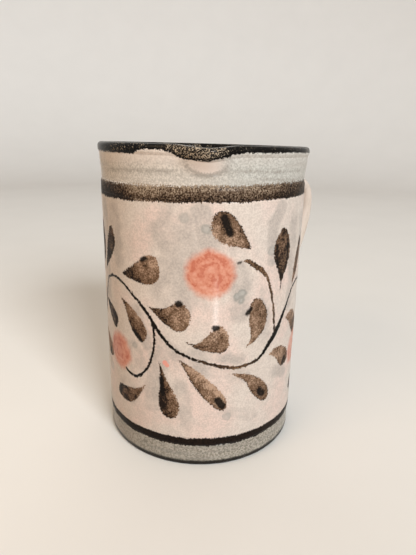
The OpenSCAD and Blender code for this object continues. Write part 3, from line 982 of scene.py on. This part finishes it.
def paint_lines(vines):
    """The vine, which runs on round the mug, and the branch and scroll of each repeat."""
    shifts = [np.array([*shift, 0.0, 0.0]) for shift in REPEAT_SHIFTS]
    vine = [np.array(point) + shift for shift in shifts for point in VINE]
    vines.stroke(curve_through(vine, LINE_STEP, np.array([GIRTH, 0.0, 0.0, 0.0])))
    for shift in shifts:
        for line in (BRANCH, SCROLL):
            vines.stroke(curve_through(line, LINE_STEP) + shift)


def washed_field(levels, columns):
    """Strength of the grey washes, which are soft right across."""
    field = np.zeros((len(levels), columns))
    for shift in REPEAT_SHIFTS:
        for start, end, width, strength in WASHES:
            wash = Painting(levels, columns, width)
            wash.straight(start, end, width / 2, shift)
            field = np.maximum(field, strength * smooth(1 - wash.away / (width / 2)))
    return field


def painted_fields(levels, columns):
    """All the brush work of the ground, as fields of its mesh."""
    layers = {name: Painting(levels, columns, reach) for name, reach in LAYER_REACHES.items()}
    paint_lines(layers["vine"])
    paint_leaves(layers)
    for shift in REPEAT_SHIFTS:
        for middle, radius in BLOOMS:
            layers["bloom"].stamp(middle + shift, radius)
        for touch in OTHER_TOUCHES:
            layers["touch"].straight(*touch, shift)
        for middle, radius, strength in BLOTS:
            layers["blot"].stamp(middle + shift, radius, strength)
    for middle, radius in BUDS:
        layers["bud"].stamp(middle, radius)
    fields = {name: layer.field() for name, layer in layers.items()}
    fields.update(leaf_lean=layers["leaf"].lean, tone=layers["leaf"].tone, dryness=layers["vine"].tone)
    fields.update(blot_tone=layers["blot"].tone, wash=washed_field(levels, columns))
    return fields


def make_ground(material):
    """Pale slip that carries the painted scroll."""
    levels = np.linspace(FOOT_LINE_TOP, SHOULDER_LOW, GROUND_ROWS)
    radius, z = profile((COAT_RADIUS, levels), (RADIUS - COAT, levels[[-1, 0]]), columns=GROUND_COLUMNS)
    bare_back = np.zeros((2, GROUND_COLUMNS))
    painted = painted_fields(levels, GROUND_COLUMNS)
    fields = {name: np.concatenate([values, bare_back]) for name, values in painted.items()}
    fields.update(shoulder_fields(z.shape))
    turned_piece("painted_ground_coat", radius, z, material, "ground_slip", fields)


def make_base(material):
    """Slab with a rounded foot edge and a thrown spiral on its floor inside."""
    under = np.linspace(AXIS_GAP, RADIUS - FOOT_RADIUS, UNDER_ROWS, endpoint=False)
    arc = np.radians(np.linspace(-90, 0, FOOT_ROWS))
    edge = (RADIUS + FOOT_RADIUS * (np.cos(arc) - 1), FOOT_RADIUS * (np.sin(arc) + 1))
    side = np.linspace(FOOT_RADIUS, SEAM_Z, SIDE_ROWS)[1:]
    floor = np.linspace(RADIUS - WALL_THICKNESS, AXIS_GAP, FLOOR_ROWS)
    radius, z = profile((under, 0.0), edge, (RADIUS, side), (floor, SEAM_Z))
    spiral = thrown_spiral(floor, FLOOR_SPIRAL_PITCH) * smooth(floor / FLOOR_SPIRAL_PITCH)[:, None]
    z[-FLOOR_ROWS:] -= FLOOR_SPIRAL_DEPTH * (1 + spiral) / 2
    fields = {"inside": from_row(z, len(z) - FLOOR_ROWS)}
    turned_piece("base_disc", radius, z, material, "base_slab", fields)


def make_coil(material):
    """Coil smoothed into the corner between floor and wall."""
    reach = COIL_TOP - SEAM_Z
    arc = np.radians(np.linspace(0, -90, COIL_ROWS))
    curve = (COIL_OUT + reach * (np.cos(arc) - 1), SEAM_Z + reach * (np.sin(arc) + 1))
    radius, z = profile((COIL_OUT, SEAM_Z), curve)
    fields = {"inside": from_row(z, 0)}
    turned_piece("inner_corner_coil", radius, z, material, "base_coil", fields)


def strap_middle(t):
    """Middle line of the strap, as [out, height]."""
    upper, lower = (np.array([RADIUS, level]) for level in ROOT_LEVELS)
    ends = (upper, upper + ROOT_PULLS[0], lower + ROOT_PULLS[1], lower)
    weights = ((1 - t) ** 3, 3 * t * (1 - t) ** 2, 3 * t ** 2 * (1 - t), t ** 3)
    return sum(weight * end for weight, end in zip(weights, ends))


def strap_heading(t):
    """Direction of the strap's middle line, as [out, height]."""
    step = 1e-4
    way = strap_middle(t + step) - strap_middle(t - step)
    return way / np.linalg.norm(way)


def strap_ring(t, shift, count):
    """One section of the strap, moved along its heading."""
    near = [smooth(1 - away / share) for away, share in zip((t, 1 - t), BLEND_SHARES)]

    def swelling(plain, at_roots):
        return plain + sum((root - plain) * share for root, share in zip(at_roots, near))

    width = swelling(np.interp(t, (0, 1), STRAP_WIDTHS), ROOT_WIDTHS)
    depth = swelling(STRAP_THICKNESS, ROOT_THICKNESSES)
    groove = GROOVE_DEPTH * (1 - near[0]) * (1 - near[1])
    angle = np.arange(count) * 2 * math.pi / count
    sides = np.stack([np.cos(angle), np.sin(angle)])
    across, raised = np.sign(sides) * np.abs(sides) ** SECTION_SHARE
    hollow = np.where(raised > 0, groove * np.cos(math.pi / 2 * across) ** 2, 0.0)
    way = strap_heading(t)
    middle = strap_middle(t) + shift * way
    lift = raised * depth / 2 - hollow
    return np.stack([middle[0] - way[1] * lift, across * width / 2, middle[1] + way[0] * lift], axis=-1)


def make_handle(material):
    """Pulled strap with a thumb groove, its ends let into the wall."""
    let_in = WALL_THICKNESS / 2
    sections = [(0.0, -let_in), *((t, 0.0) for t in np.linspace(0, 1, STRAP_RINGS)), (1.0, let_in)]
    rings = [strap_ring(t, shift, STRAP_COLUMNS) for t, shift in sections]
    faces = [face[::-1] for face in grid_faces(len(rings), STRAP_COLUMNS, False)]
    end = (len(rings) - 1) * STRAP_COLUMNS
    faces.append(list(range(STRAP_COLUMNS)))
    faces.append(list(range(end, end + STRAP_COLUMNS))[::-1])
    add_piece("pulled_handle", np.array(rings), faces, material, "handle")


def on_wall(flat, radius):
    """Points at a radius, from places on the unrolled wall."""
    return round_points(radius, flat[:, 0] / COAT_RADIUS, flat[:, 1])


def make_root_slip(name, root_t, direction, material, replaced):
    """Joining slip smoothed into a fillet round one root of the handle."""
    way = strap_heading(root_t) * direction
    along = np.array([way[0], 0.0, way[1]])
    foot = strap_ring(root_t, 0.0, SLIP_COLUMNS)
    for _ in range(SLIP_STEPS):
        out = np.hypot(foot[:, 0], foot[:, 1])
        slope = foot[:, 0] * along[0] / out
        foot += ((COAT_RADIUS - out) / slope)[:, None] * along
    unrolled = np.stack([np.arctan2(foot[:, 1], foot[:, 0]) * COAT_RADIUS, foot[:, 2]], axis=-1)
    tangent = np.roll(unrolled, -1, axis=0) - np.roll(unrolled, 1, axis=0)
    tangent /= np.linalg.norm(tangent, axis=1)[:, None]
    outward = np.stack([tangent[:, 1], -tangent[:, 0]], axis=-1)
    outward *= np.sign(np.sum(outward * (unrolled - unrolled.mean(axis=0)), axis=1))[:, None]
    spread = unrolled + FILLET_OUT * outward
    inward = unrolled - SLIP_UNDER_STRAP * outward
    edge = on_wall(spread, COAT_RADIUS - SLIP_EDGE_SINK)
    crown = foot + FILLET_UP * along
    rows = [
        (1 - share) ** 2 * edge + 2 * share * (1 - share) * foot + share ** 2 * crown
        for share in np.linspace(0, 1, SLIP_ROWS)
    ]
    back = COAT_RADIUS - SLIP_BACK_SINK
    rows += [
        on_wall(inward, COAT_RADIUS + SLIP_RISE_SHARE * FILLET_UP * abs(way[0])),
        on_wall(inward, back),
        on_wall(spread - SLIP_BACK_INSET * outward, back),
    ]
    faces = grid_faces(len(rows), SLIP_COLUMNS, True)
    add_piece(name, np.array(rows), faces, material, replaced)


def photo_axes():
    """Right, away and up, as the photograph's camera stands."""
    turn = Matrix.Rotation(VIEW_TURN, 3, "Z")
    return turn @ Vector((1, 0, 0)), turn @ Vector((0, 1, 0)), Vector((0, 0, 1))


def seen_place(right, away, up):
    """A place given from the photograph's side, in metres."""
    axes = photo_axes()
    return (axes[0] * right + axes[1] * away + axes[2] * up) * MM


def make_camera():
    """The photograph's camera."""
    data = bpy.data.cameras.new("camera")
    data.sensor_width = SENSOR_WIDTH
    data.lens = SENSOR_WIDTH * FOCAL_PIXELS / IMAGE_PIXELS
    data.clip_start = NEAREST_SEEN * MM
    scene.camera = linked_object("camera", data)
    scene.camera.matrix_world = (
        Matrix.Translation(seen_place(0, -CAMERA_AWAY, CAMERA_HEIGHT))
        @ Matrix.Rotation(VIEW_TURN + CAMERA_YAW, 4, "Z")
        @ Matrix.Rotation(math.pi / 2 - CAMERA_PITCH, 4, "X")
        @ Matrix.Rotation(CAMERA_ROLL, 4, "Z")
    )


def make_light(name, place, target, size, power, tint):
    """A soft rectangle of light, turned to a place and not seen itself."""
    data = bpy.data.lights.new(name, "AREA")
    data.shape = "RECTANGLE"
    data.size, data.size_y = (side * MM for side in size)
    data.energy = power
    data.color = tint
    light = linked_object(name, data)
    light.location = seen_place(*place)
    light.rotation_mode = "QUATERNION"
    light.rotation_quaternion = (seen_place(*target) - light.location).to_track_quat("-Z", "Y")
    light.visible_camera = False
    return light


def make_lights():
    """Broad key from the right, weak warm fill from the left and a narrow low strip for the gloss."""
    lamps = {name: make_light(name, *settings) for name, settings in LAMPS.items()}
    lamps["strip"].visible_diffuse = False


def make_world():
    """Dim warm surroundings, brighter behind the mug, that look pale."""
    nodes = Nodes(bpy.data.worlds.new("studio"), "Background")
    way = nodes.add("TexCoord").outputs["Generated"]
    behind = nodes.ramp(nodes.along(way, tuple(photo_axes()[1])), 0.3, 0.9)
    light = nodes.blend(behind, NEAR_LIGHT, FAR_LIGHT)
    nodes.give("Color", nodes.blend(nodes.seen(), light, (232, 228, 222)))
    scene.world = nodes.owner


def make_stage():
    """Pale floor that sweeps up into a backdrop all round."""
    arc = np.radians(np.linspace(-90, 0, SWEEP_ROWS))
    sweep = (FLOOR_FLAT + FLOOR_SWEEP * np.cos(arc), FLOOR_SWEEP * (1 + np.sin(arc)))
    radius, z = profile(([FLOOR_HOLE, FLOOR_FLAT / 2], 0.0), sweep, columns=STAGE_COLUMNS)
    points = round_points(radius, np.radians(bearings(STAGE_COLUMNS)), z)
    shaded_object("floor", points, grid_faces(*z.shape, False), floor_material())


make_camera()
body = coated_material()
make_base(body)
make_wall(body)
make_coil(body)
make_band(
    "shoulder_coat", SHOULDER_LOW, SHOULDER_TOP, 0.0, SHOULDER_FEATHER, body, "shoulder_band"
)
make_ground(body)
make_band("foot_line_coat", FOOT_LINE_LOW, FOOT_LINE_TOP, FOOT_FEATHER, 0.0, body, "foot_band")
make_rim_glaze(body)
pale = pale_slip_material()
make_handle(pale)
make_root_slip("upper_joining_slip", 0.0, 1.0, pale, "upper_root_slip")
make_root_slip("lower_joining_slip", 1.0, -1.0, pale, "lower_root_slip")
make_stage()
make_world()
make_lights()
scene.view_settings.view_transform = "Standard"
